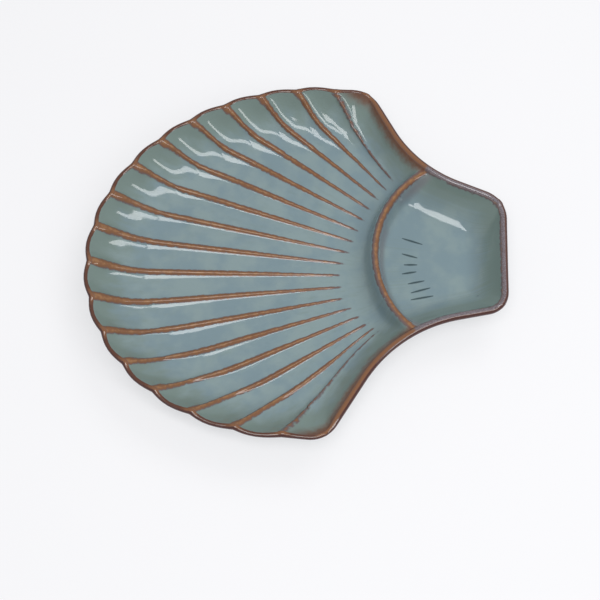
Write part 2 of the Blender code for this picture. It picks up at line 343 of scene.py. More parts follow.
@dataclass(frozen=True)
class Outline:
    """The four edges of the plan, each a line that shares its ends with its neighbours."""

    rim: Line
    upper: Line
    lower: Line
    grip: Line

    def each(self) -> list[tuple[Wall, Line]]:
        """The edges, each with the wall that stands on it."""
        return [(Wall.FAN, self.rim), (Wall.UPPER, self.upper), (Wall.LOWER, self.lower),
                (Wall.GRIP, self.grip)]

    def inset(self, width: float) -> "Outline":
        """The outline moved inwards by the given width."""
        return Outline(self.rim.inset(width), self.upper.inset(-width), self.lower.inset(width),
                       self.grip.inset(-width))

    def box_middle(self) -> Array:
        """Middle of the box around the whole outline."""
        every = np.concatenate([line.points for _, line in self.each()])
        return (every.min(0) + every.max(0)) / 2


@dataclass(frozen=True)
class Plan:
    """The platter seen from above."""

    rim: Rim = field(default_factory=Rim)
    ribs: Ribs = field(default_factory=Ribs)
    divider: Divider = field(default_factory=Divider)
    wing_upper: Corner = Corner(0.0535, 0.1306, 0.0240)
    neck_upper: Corner = Corner(0.0862, 0.0699, 0.0880)
    grip_upper: Corner = Corner(0.1482, 0.0439, 0.0230)
    grip_lower: Corner = Corner(0.1454, -0.0408, 0.0175)
    neck_lower: Corner = Corner(0.0699, -0.0550, 0.0970)
    wing_lower: Corner = Corner(0.0199, -0.1322, 0.0220)
    corner_tightness: float = 2.1
    bent_flutes: float = 3.0
    outer_share: float = 0.22
    least_drop: float = 1e-6
    rim_count: int = 641
    search_count: int = 6001

    def outline(self, bulge: float) -> Outline:
        """The edges of the plan.

        The rim runs from the upper wing tip to the lower one: ellipse points at the columns' angles,
        pushed out by bulge * |sin(pi * column)|. Each side runs from a wing tip to the grip.

        Args:
            bulge: How far the bays between the notches bulge.

        Returns:
            The four edges.
        """
        outermost = self.ribs.last - 1
        column = np.linspace(outermost, -outermost, self.rim_count)
        angle = self.ribs.angle(column)
        bays = self.rim.hit(self.ribs.hub, angle)
        corners = [self.wing_upper, self.neck_upper, self.grip_upper, self.grip_lower,
                   self.neck_lower, self.wing_lower]
        route = [tuple(bays[0]), *(corner.point for corner in corners), tuple(bays[-1])]
        halves = [corner.halves(route[i], route[i + 2]) for i, corner in enumerate(corners)]
        wing_upper, neck_upper, grip_upper, grip_lower, neck_lower, wing_lower = halves
        bays = bays + direction(angle) * bulge * np.abs(np.sin(np.pi * column))[:, None]
        stretches = (
            (wing_upper[0][::-1], bays, wing_lower[1][::-1]),
            (wing_upper[1], *neck_upper, grip_upper[0]),
            (wing_lower[0][::-1], neck_lower[1][::-1], neck_lower[0][::-1], grip_lower[1][::-1]),
            (grip_upper[1], grip_lower[0]),
        )
        return Outline(*(Line(self.without_repeats(np.concatenate(part))) for part in stretches))

    @staticmethod
    def without_repeats(points: Array) -> Array:
        """The points without those that lie on the one before."""
        moved = np.hypot(*np.diff(points, axis=0).T) > SAME_PLACE
        return points[np.concatenate([[True], moved])]

    def level(self, points: Array, outline: Outline) -> Array:
        """Share of the walls' full rise: 1 at an edge, 0 on the floor.

        Each wall drops from its edge by 1 - (1 - distance / reach)^turn. The inverse powers of the
        drops add up, so walls that meet run into each other in a soft corner.

        Args:
            points: Plan points.
            outline: Edges that the walls stand on.

        Returns:
            One share for each point.
        """
        crowding = np.ones(len(points))
        for wall, line in outline.each():
            reach, turn = wall.value
            drop = 1 - np.clip(1 - line.distance(points) / reach, 0, 1) ** turn
            crowding += np.maximum(drop, self.least_drop) ** -self.corner_tightness - 1
        return 1 - crowding ** (-1 / self.corner_tightness)

    def divider_end(self, side: Line) -> float:
        """Length along a side, from the wing tip, at which the divider's arc meets it."""
        fine = np.linspace(0, side.steps()[-1], self.search_count)
        return float(fine[np.argmax(self.divider.away(side.at(fine)) < 0)])


@dataclass(frozen=True)
class Fineness:
    """How finely the surfaces are divided."""

    flute: tuple[float, ...] = (0.0, 0.03, 0.06, 0.09, 0.125, 0.17, 0.24, 0.35,
                                0.50, 0.65, 0.76, 0.83, 0.875, 0.91, 0.94, 0.97)
    ridge_rows: tuple[float, ...] = (0.0, 0.2, 0.4, 0.6, 0.8, 1.0, 1.2, 1.5, 1.85, 2.3, 2.8)
    fan_rows: int = 64
    dip_rows: int = 30
    lip_segments: int = 12
    foot_points: int = 240
    foot_arc_points: int = 5
    foot_halvings: int = 20


@dataclass
class PlanGrid:
    """Plan points as rows from the fan rim to the grip end, and columns from +Y to -Y."""

    points: Array
    column: Array
    fan_rows: int
    way: Array

    @classmethod
    def over(cls, plan: Plan, outline: Outline, fine: Fineness) -> "PlanGrid":
        """Lay the grid inside an outline.

        Columns leave the divider's crest at set angles round its centre and run straight to the rim
        or to the grip's end; the ones beside a side bend towards that side's line.

        Args:
            plan: Plan of the platter.
            outline: Edges that the grid ends on.
            fine: How finely to divide.

        Returns:
            The grid.
        """
        ribs, divider = plan.ribs, plan.divider
        last = ribs.last
        column = (np.arange(-last, last)[:, None] + np.array(fine.flute)).ravel()
        column = np.concatenate([column, [last]])[::-1]
        sides = (outline.upper, outline.lower)
        cuts = [plan.divider_end(side) for side in sides]
        gaps = [side.at(np.array([cut]))[0] - divider.centre for side, cut in zip(sides, cuts)]
        limits = [np.degrees(np.arctan2(gap[1], -gap[0])) for gap in gaps]
        inner = np.arange(1 - last, last)
        turns = divider.aim + divider.pitch * inner + divider.skew * inner**2
        knots = np.concatenate([[-last], inner, [last]])
        turn = np.interp(column, knots, np.concatenate([[limits[1]], turns, [limits[0]]]))
        crest = divider.centre + divider.radius * direction(turn)
        edge = cls.rim_points(plan, outline.rim, column)
        outermost = [-last, 1 - last, last - 1, last]
        share = np.interp(column, outermost, [1, 1 - plan.outer_share, plan.outer_share, 0])
        end = outline.grip.at(share * outline.grip.steps()[-1])
        fan_sides = [side.part(cut, 0.0) for side, cut in zip(sides, cuts)]
        dip_sides = [side.part(cut, side.steps()[-1]) for side, cut in zip(sides, cuts)]
        ridge = np.array(fine.ridge_rows)
        fan, way = cls.patch(plan, crest, edge, fan_sides, ridge * divider.half_fan, fine.fan_rows, column)
        dip, _ = cls.patch(plan, crest, end, dip_sides, ridge * divider.half_dip, fine.dip_rows, column)
        points = np.concatenate([fan[::-1], dip[1:]])
        ways = np.concatenate([way[::-1], np.zeros((len(dip) - 1, len(column)))])
        return cls(points, column, len(fan), ways)

    @staticmethod
    def rim_points(plan: Plan, rim: Line, column: Array) -> Array:
        """Points of the rim at the columns: the nearest rim point to each column's ray from the hub.

        Args:
            plan: Plan of the platter.
            rim: The rim that the grid ends on.
            column: Column numbers, from the upper side down.

        Returns:
            One plan point for each column.
        """
        steps = rim.steps()
        gap = rim.points - plan.ribs.hub
        seen = np.degrees(np.arctan2(gap[:, 1], -gap[:, 0]))
        outermost = plan.ribs.last - 1
        inner = np.linspace(outermost, -outermost, 2 * outermost * RIM_SAMPLES + 1)
        marks = np.interp(-plan.ribs.angle(inner), -seen, steps)
        marks = np.concatenate([[0.0], marks, [steps[-1]]])
        numbers = np.concatenate([[plan.ribs.last], inner, [-plan.ribs.last]])
        return rim.at(np.interp(-column, -numbers, marks))

    @staticmethod
    def patch(plan: Plan, near: Array, far: Array, sides: list[Line], widths: Array, rows: int,
              column: Array) -> tuple[Array, Array]:
        """Grid between two lines that hold a point for each column.

        The first rows are at the given widths from `near`. The rest of each column is divided by
        u * (1 + crowding * (1 - u)), which draws the rows together towards `far`. Beside a side the points
        shift by the side's own offset, times (1 - flutes away / bent flutes)^2.

        Args:
            plan: Plan of the platter.
            near: Points on the divider's crest.
            far: Points on the edge.
            sides: Upper and lower side, from the divider outwards.
            widths: Distances of the first rows from the crest.
            rows: How many rows follow them.
            column: Column numbers.

        Returns:
            The points, and the distance of each from the crest along its column.
        """
        length = np.hypot(*(far - near).T)
        first = widths[:, None] / length
        u = np.arange(1, rows + 1)[:, None] / rows
        rest = first[-1] + (1 - first[-1]) * u * (1 + ROW_CROWDING - ROW_CROWDING * u)
        share = np.concatenate([first, rest])
        points = near + share[..., None] * (far - near)
        for side, place, sign in ((sides[0], 0, 1), (sides[1], -1, -1)):
            bend = side.at(share[:, place] * side.steps()[-1]) - points[:, place]
            weight = np.clip(1 - (plan.ribs.last - sign * column) / plan.bent_flutes, 0, 1) ** 2
            points = points + weight[None, :, None] * bend[:, None, :]
        return points, share * length


@dataclass
class Skin:
    """Part of a mesh: points, faces and one value of each attribute for each point."""

    points: Array
    faces: list[list[int]]
    values: dict[str, Array]


@dataclass(frozen=True)
class Shell:
    """The fired body: a wall of even thickness with ribs, a divider, a rounded lip and a foot ring."""

    plan: Plan = field(default_factory=Plan)
    fine: Fineness = field(default_factory=Fineness)
    foot_height: float = 0.0030
    rim_height: float = 0.0286
    wall: float = 0.0050
    edge_inset: float = 0.0012
    rim_thinning: float = 0.34
    rim_thinning_reach: float = 0.0200
    foot_width: float = 0.0050
    foot_seat: float = 0.0036
    foot_at_rise: float = 0.0012
    foot_round: float = 0.0012
    flare_from: float = 0.75
    flare: float = 0.0006
    flare_inside: float = 0.0002
    chord_share: float = 0.9

    def heights(self, points: Array, outline: Outline) -> Array:
        """Underside's height at plan points: the floor's, plus the wall's share of the full rise."""
        return self.foot_height + (self.rim_height - self.foot_height) * self.plan.level(points, outline)

    def normals(self, points: Array, outline: Outline, step: float = 0.0004) -> Array:
        """Unit normals of the underside: (-dh/dx, -dh/dy, 1), scaled to a length of 1.

        Args:
            points: Plan points.
            outline: Edges that the walls stand on.
            step: Half the length over which the height's slopes are measured.

        Returns:
            One normal for each point, looking up.
        """
        slopes = [(self.heights(points + way, outline) - self.heights(points - way, outline)) / (2 * step)
                  for way in (np.array([step, 0.0]), np.array([0.0, step]))]
        normal = np.column_stack([-slopes[0], -slopes[1], np.ones(len(points))])
        return normal / np.linalg.norm(normal, axis=1, keepdims=True)

    def rib_offset(self, grid: PlanGrid) -> Array:
        """Distance of each grid point from the nearest rib's line, in mm.

        It is the length of the part of the gap to the rib's point in the same row that stands
        square to the rib.

        Args:
            grid: The plan grid.

        Returns:
            Distances, rows by columns.
        """
        last = self.plan.ribs.last
        nearest = np.clip(np.round(grid.column), 1 - last, last - 1)
        place = np.argmin(np.abs(grid.column[None, :] - nearest[:, None]), axis=1)
        along = np.gradient(grid.points, axis=0)[:, place]
        along /= np.hypot(*along.transpose(2, 0, 1))[..., None]
        gap = grid.points - grid.points[:, place]
        return np.abs(gap[..., 0] * along[..., 1] - gap[..., 1] * along[..., 0]) * MM

    def body(self) -> Skin:
        """The whole platter without its foot ring: both skins and the lip that joins them.

        The underside is the plan lifted to its heights. The top is the underside moved along its
        normals by the wall and the relief of the ribs, then lifted into the divider. The lip is an
        arc of half a turn from the underside's last row to the top's.

        Returns:
            The closed skin.
        """
        plan, fine = self.plan, self.fine
        outline = plan.outline(plan.rim.bulge)
        shift = outline.box_middle()
        grid = PlanGrid.over(plan, outline.inset(self.edge_inset), fine)
        rows, columns = grid.points.shape[:2]
        flat = grid.points.reshape(-1, 2)
        height = self.heights(flat, outline).reshape(rows, columns, 1)
        under = np.concatenate([grid.points, height], axis=2)
        normal = self.normals(flat, outline).reshape(rows, columns, 3)
        edge = np.min([line.distance(flat) for _, line in outline.each()], axis=0)
        edge = edge.reshape(rows, columns)
        tip = plan.ribs.tip(np.round(grid.column))[None, :]
        reach = np.max(grid.way, axis=0)[None, :]
        grown = np.clip((grid.way - tip) / (reach - tip), 0, 1)
        relief = plan.ribs.relief(grid.column, grown, edge)
        near_rim = 1 - smooth(outline.rim.distance(flat).reshape(rows, columns) / self.rim_thinning_reach)
        thickness = self.wall * (1 - self.rim_thinning * near_rim) + relief
        top = under + normal * thickness[..., None]
        away = plan.divider.away(top[..., :2].reshape(-1, 2)).reshape(rows, columns)
        top[..., 2] += plan.divider.lift(away, top[..., 2])

        loop = self.loop(rows, columns)
        low, high = under.reshape(-1, 3)[loop], top.reshape(-1, 3)[loop]
        level = (height[..., 0] - self.foot_height) / (self.rim_height - self.foot_height)
        chord = np.hypot(edge - self.edge_inset, (self.rim_height - height[..., 0]) * self.chord_share)
        values = {
            "rib": self.rib_offset(grid),
            "tip": (grid.way - tip) * MM,
            "away": away * MM,
            "level": level,
            "lip": chord * MM,
            "column": np.broadcast_to(grid.column, (rows, columns)),
        }
        ring, ring_values, start = self.lip(low, high, normal.reshape(-1, 3)[loop], loop, values)
        values["lip"] = values["lip"] + start
        return self.join(under, top, ring, values, ring_values, loop, shift)

    @staticmethod
    def loop(rows: int, columns: int) -> Array:
        """Numbers of the grid points on its border, in order round it, seen from above clockwise."""
        corner = np.arange(rows * columns).reshape(rows, columns)
        return np.concatenate([corner[0], corner[1:, -1], corner[-1, -2::-1], corner[-2:0:-1, 0]])

    def lip(self, low: Array, high: Array, normal: Array, loop: Array,
            values: dict[str, Array]) -> tuple[Array, dict[str, Array], float]:
        """The rounded lip between the border of the underside and that of the top.

        Each section is a half circle with the wall's end as its diameter. It bulges along the
        direction in the wall that leads outwards: the plan's outward normal less its part along the
        wall's normal.

        Args:
            low: Border points of the underside.
            high: Border points of the top.
            normal: The wall's normals there.
            loop: Numbers of the border points.
            values: Attributes of the grid, each rows by columns.

        Returns:
            Points, segments by border points, their attributes, and the distance in mm along the
            section from the lip's crest to the top's first row, which is slope * radius.
        """
        along = np.roll(low, -1, axis=0) - np.roll(low, 1, axis=0)
        out = np.stack([-along[:, 1], along[:, 0], np.zeros(len(along))], axis=1)
        middle = low.mean(0)
        out *= np.sign(((low - middle) * out).sum(1).sum())
        out /= np.linalg.norm(out, axis=1, keepdims=True)
        out -= (out * normal).sum(1, keepdims=True) * normal
        out /= np.linalg.norm(out, axis=1, keepdims=True)
        centre, half = (low + high) / 2, (high - low) / 2
        size = np.linalg.norm(half, axis=1, keepdims=True)
        turns = np.pi * np.arange(1, self.fine.lip_segments) / self.fine.lip_segments
        ring = (centre[None] - np.cos(turns)[:, None, None] * half[None]
                + np.sin(turns)[:, None, None] * (out * size)[None])
        slope = np.arccos(np.clip(normal[:, 2], 0, 1))
        run = (turns[:, None] - (np.pi - slope)[None]) * size[:, 0] * MM
        own = {name: np.broadcast_to(grid.ravel()[loop], run.shape) for name, grid in values.items()}
        own["lip"] = run
        first_third = slope[: len(slope) // 3]
        return ring, own, float(np.median(first_third) * np.median(size) * MM)

    def join(self, under: Array, top: Array, ring: Array, values: dict[str, Array],
             ring_values: dict[str, Array], loop: Array, shift: Array) -> Skin:
        """Put top, underside and lip into one closed skin.

        Args:
            under: Underside's points, rows by columns.
            top: Top's points, rows by columns.
            ring: Lip's points, segments by border points.
            values: Attributes of the grid.
            ring_values: Attributes of the lip.
            loop: Numbers of the border points.
            shift: Plan point that comes to lie on the Z axis.

        Returns:
            The skin.
        """
        rows, columns = under.shape[:2]
        count, border = rows * columns, len(loop)
        points = np.concatenate([top.reshape(-1, 3), under.reshape(-1, 3), ring.reshape(-1, 3)])
        points[:, :2] -= shift
        corner = np.arange(count).reshape(rows, columns)
        quads = np.stack([corner[:-1, :-1], corner[:-1, 1:], corner[1:, 1:], corner[1:, :-1]], axis=-1)
        quads = quads.reshape(-1, 4)
        arcs = np.arange(2 * count, 2 * count + ring.shape[0] * border).reshape(-1, border)
        belt = np.concatenate([(loop + count)[None], arcs, loop[None]])
        turned = np.roll(belt, -1, axis=1)
        band = np.stack([belt[:-1], turned[:-1], turned[1:], belt[1:]], axis=-1).reshape(-1, 4)
        faces = np.concatenate([quads, quads[:, ::-1] + count, band]).tolist()
        merged = {name: np.concatenate([grid.ravel(), grid.ravel(), ring_values[name].ravel()])
                  for name, grid in values.items()}
        merged["lip"][count : 2 * count] *= -1
        merged["layer"] = np.concatenate([np.full(count, Layer.TOP.value),
                                          np.full(count, Layer.UNDER.value),
                                          np.zeros(ring.shape[0] * border)])
        return Skin(points, faces, merged)

    def foot_route(self) -> Array:
        """The foot ring's middle line, in the finished frame.

        Along each ray from the fan's middle the place where the underside has risen by the set
        amount is found by halving.

        Returns:
            Plan points round the ring.
        """
        plain = self.plan.outline(0.0)
        shift = self.plan.outline(self.plan.rim.bulge).box_middle()
        turn = np.linspace(0, 2 * np.pi, self.fine.foot_points, endpoint=False)
        ray = np.stack([np.cos(turn), np.sin(turn)], axis=1)
        near, far = np.zeros(len(turn)), np.full(len(turn), self.plan.rim.half_length)
        inside = np.array(self.plan.rim.centre)
        limit = self.foot_height + self.foot_at_rise
        for _ in range(self.fine.foot_halvings):
            middle = (near + far) / 2
            risen = self.heights(inside + ray * middle[:, None], plain) > limit
            far, near = np.where(risen, middle, far), np.where(risen, near, middle)
        return inside + ray * near[:, None] - shift

    def foot(self, first: int) -> Skin:
        """The foot ring: a section with rounded lower edges and spread upper ones, swept round.

        Args:
            first: Number of the ring's first point in the mesh it joins.

        Returns:
            The ring as a closed skin.
        """
        route = self.foot_route()
        along = np.roll(route, -1, axis=0) - np.roll(route, 1, axis=0)
        across = np.stack([along[:, 1], -along[:, 0]], axis=1) / np.hypot(*along.T)[:, None]
        half, curve = self.foot_width / 2, self.foot_round
        turns = np.linspace(0, np.pi / 2, self.fine.foot_arc_points)
        side = np.column_stack([half - curve + curve * np.sin(turns), curve - curve * np.cos(turns)])
        side = np.concatenate([side, [
            [half, self.foot_height * self.flare_from],
            [half + self.flare, self.foot_height],
            [half + self.flare_inside, self.foot_height + self.foot_seat],
        ]])
        section = np.concatenate([side, side[::-1] * [-1, 1]])
        points = np.concatenate([
            route[:, None] + across[:, None] * section[None, :, :1],
            np.broadcast_to(section[None, :, 1:], (len(route), len(section), 1)),
        ], axis=2)
        number = first + np.arange(len(route) * len(section)).reshape(len(route), -1)
        after, beside = np.roll(number, -1, axis=0), np.roll(number, -1, axis=1)
        both = np.roll(after, -1, axis=1)
        faces = np.stack([number, after, both, beside], axis=-1).reshape(-1, 4)
        total = points.shape[0] * points.shape[1]
        values = {name: np.full(total, FAR_MM) for name in ("rib", "tip", "away", "lip", "column")}
        values["level"] = np.zeros(total)
        values["layer"] = np.full(total, Layer.FOOT.value)
        return Skin(points.reshape(-1, 3), faces.tolist(), values)

    def piece(self, material: bpy.types.Material) -> bpy.types.Object:
        """The platter as one object, with the glaze's attributes on its points.

        Args:
            material: Its finish.

        Returns:
            The object, linked to the scene.
        """
        body = self.body()
        foot = self.foot(len(body.points))
        mesh = bpy.data.meshes.new("platter_glazed")
        mesh.from_pydata(np.concatenate([body.points, foot.points]).tolist(), [], body.faces + foot.faces)
        for name, values in body.values.items():
            layer = mesh.attributes.new(name, "FLOAT", "POINT")
            layer.data.foreach_set("value", np.concatenate([values, foot.values[name]]).astype(np.float32))
        mesh.shade_smooth()
        mesh.materials.append(material)
        mesh.update()
        item = bpy.data.objects.new("platter_glazed", mesh)
        bpy.context.scene.collection.objects.link(item)
        LOG.info("platter: %d points, %d faces", len(mesh.vertices), len(mesh.polygons))
        return item


class Noise(Enum):
    """The glaze's noises, as bumps to the metre (to a column, for the streaks) and detail."""

    STREAK = (4.0, 3.0)
    BROAD = (22.0, 3.0)
    MOTTLE = (60.0, 3.0)
    RIPPLE = (120.0, 2.0)
    GRAIN = (330.0, 3.0)
    SPECK = (1500.0, 1.0)


class Graph:
    """A material's node tree, built with short calls that each return a socket."""

    def __init__(self, material: bpy.types.Material) -> None:
        """Start an empty tree.

        Args:
            material: Material that the tree belongs to.
        """
        material.use_nodes = True
        self.tree = material.node_tree
        self.tree.nodes.clear()

    def node(self, kind: str, **settings: object) -> bpy.types.Node:
        """Add a node.

        Args:
            kind: Its type.
            **settings: Properties to set on it.

        Returns:
            The node.
        """
        made = self.tree.nodes.new(kind)
        for name, value in settings.items():
            setattr(made, name, value)
        return made

    def feed(self, socket: Socket, value: object) -> None:
        """Link an input to an output, or set it to a constant.

        Args:
            socket: The input.
            value: An output or a constant.
        """
        if isinstance(value, bpy.types.NodeSocket):
            self.tree.links.new(value, socket)
        else:
            socket.default_value = value

    def fed(self, made: bpy.types.Node, *values: object) -> bpy.types.Node:
        """Feed a node's inputs in order.

        Args:
            made: The node.
            *values: Outputs or constants.

        Returns:
            The same node.
        """
        for socket, value in zip(made.inputs, values):
            self.feed(socket, value)
        return made

    def attribute(self, name: str) -> Socket:
        """A number that the mesh's points carry."""
        return self.node("ShaderNodeAttribute", attribute_name=name).outputs["Fac"]

    def math(self, operation: str, *values: object) -> Socket:
        """Result of a Math node on the values."""
        return self.fed(self.node("ShaderNodeMath", operation=operation), *values).outputs[0]

    def times(self, first: object, *others: object) -> Socket:
        """Product of two or more values.

        Args:
            first: The first factor.
            *others: The other factors.

        Returns:
            The product.
        """
        for other in others:
            first = self.math("MULTIPLY", first, other)
        return first

    def line(self, value: object, factor: object, offset: object) -> Socket:
        """value * factor + offset."""
        return self.math("MULTIPLY_ADD", value, factor, offset)

    def vector(self, operation: str, *values: object) -> bpy.types.Node:
        """A Vector Math node on the values."""
        return self.fed(self.node("ShaderNodeVectorMath", operation=operation), *values)

    def step(self, value: object, span: Span) -> Socket:
        """Smooth step that is 0 at the span's first end and 1 at its second, which may be lower."""
        made = self.node("ShaderNodeMapRange", interpolation_type="SMOOTHSTEP")
        return self.fed(made, value, *span).outputs[0]

    def band(self, value: object, middle: float, half: float) -> Socket:
        """1 - |value - middle| / half, so that it is 1 in the middle of a band and 0 on its edges."""
        off = self.math("ABSOLUTE", self.math("SUBTRACT", value, middle))
        return self.math("SUBTRACT", 1.0, self.math("DIVIDE", off, half))

    def blend(self, share: object, first: object, second: object) -> Socket:
        """Mix two colours.

        Args:
            share: 0 for the first colour alone and 1 for the second.
            first: The colour below.
            second: The colour laid over it.

        Returns:
            The mixed colour.
        """
        made = self.node("ShaderNodeMix", data_type="RGBA")
        for name, value in (("Factor_Float", share), ("A_Color", first), ("B_Color", second)):
            self.feed(next(entry for entry in made.inputs if entry.identifier == name), value)
        return next(entry for entry in made.outputs if entry.identifier == "Result_Color")

    def noise(self, place: object, kind: Noise) -> Socket:
        """Soft noise between about 0.2 and 0.8.

        Args:
            place: Position that it is read at.
            kind: Which noise.

        Returns:
            The noise.
        """
        made = self.node("ShaderNodeTexNoise")
        self.feed(made.inputs["Vector"], place)
        for name, value in zip(("Scale", "Detail"), kind.value):
            made.inputs[name].default_value = value
        return made.outputs["Fac"]


@dataclass(frozen=True)
class Stroke:
    """An engraved stroke in the dip well's floor, from one plan point to another."""

    start: Pair
    end: Pair
    end_width: float = 0.4
    swelling: float = 2.4

    def gap(self, graph: Graph, place: Socket) -> Socket:
        """Distance from the stroke in shares of its width, which tapers towards both ends.

        The distance is the length of p - a - h (b - a), with h held in 0 to 1, and the width is the
        full one times end width + swelling * h (1 - h).

        Args:
            graph: Tree to build in.
            place: Plan position, with a z of 0.

        Returns:
            The distance, in mm where the stroke is at its widest.
        """
        step = (self.end[0] - self.start[0], self.end[1] - self.start[1], 0.0)
        offset = graph.vector("SUBTRACT", place, (*self.start, 0.0)).outputs[0]
        along = graph.vector("DOT_PRODUCT", offset, step).outputs["Value"]
        share = graph.times(along, 1 / (step[0] ** 2 + step[1] ** 2))
        share.node.use_clamp = True
        scaled = graph.vector("SCALE", step)
        graph.feed(scaled.inputs["Scale"], share)
        rest = graph.vector("SUBTRACT", offset, scaled.outputs[0]).outputs[0]
        taper = graph.times(share, graph.math("SUBTRACT", 1.0, share))
        width = graph.line(taper, self.swelling, self.end_width)
        return graph.math("DIVIDE", graph.times(graph.vector("LENGTH", rest).outputs["Value"], MM), width)


STROKES = (
    Stroke((0.0748, 0.0205), (0.0888, 0.0159)),
    Stroke((0.0744, 0.0086), (0.0849, 0.0056)),
    Stroke((0.0756, 0.0003), (0.0847, 0.0003)),
    Stroke((0.0740, -0.0066), (0.0839, -0.0050)),
    Stroke((0.0780, -0.0141), (0.0893, -0.0118)),
    Stroke((0.0799, -0.0208), (0.0933, -0.0171)),
    Stroke((0.0797, -0.0260), (0.0952, -0.0231)),
)


class Ground:
    """Values that several parts of the glaze read: places, noises and the mesh's attributes.

    `top` is 1 on the upper surface and `fan` is 1 on the fan's side of the divider.
    """

    top_span: Span = (0.6, 0.3)
    fan_span_mm: Span = (-1.0, 1.0)

    def __init__(self, graph: Graph) -> None:
        """Add the nodes that give them.

        Args:
            graph: Tree to build in.
        """
        self.graph = graph
        self.place = graph.node("ShaderNodeTexCoord").outputs["Object"]
        self.height = graph.fed(graph.node("ShaderNodeSeparateXYZ"), self.place).outputs[2]
        self.broad = graph.noise(self.place, Noise.BROAD)
        self.grain = graph.noise(self.place, Noise.GRAIN)
        self.layer = graph.attribute("layer")
        self.edge = graph.attribute("lip")
        self.away = graph.attribute("away")
        self.tip = graph.attribute("tip")
        self.column = graph.attribute("column")
        self.off_middle = graph.math("ABSOLUTE", self.column)
        self.top = graph.step(self.layer, self.top_span)
        self.fan = graph.step(self.away, self.fan_span_mm)


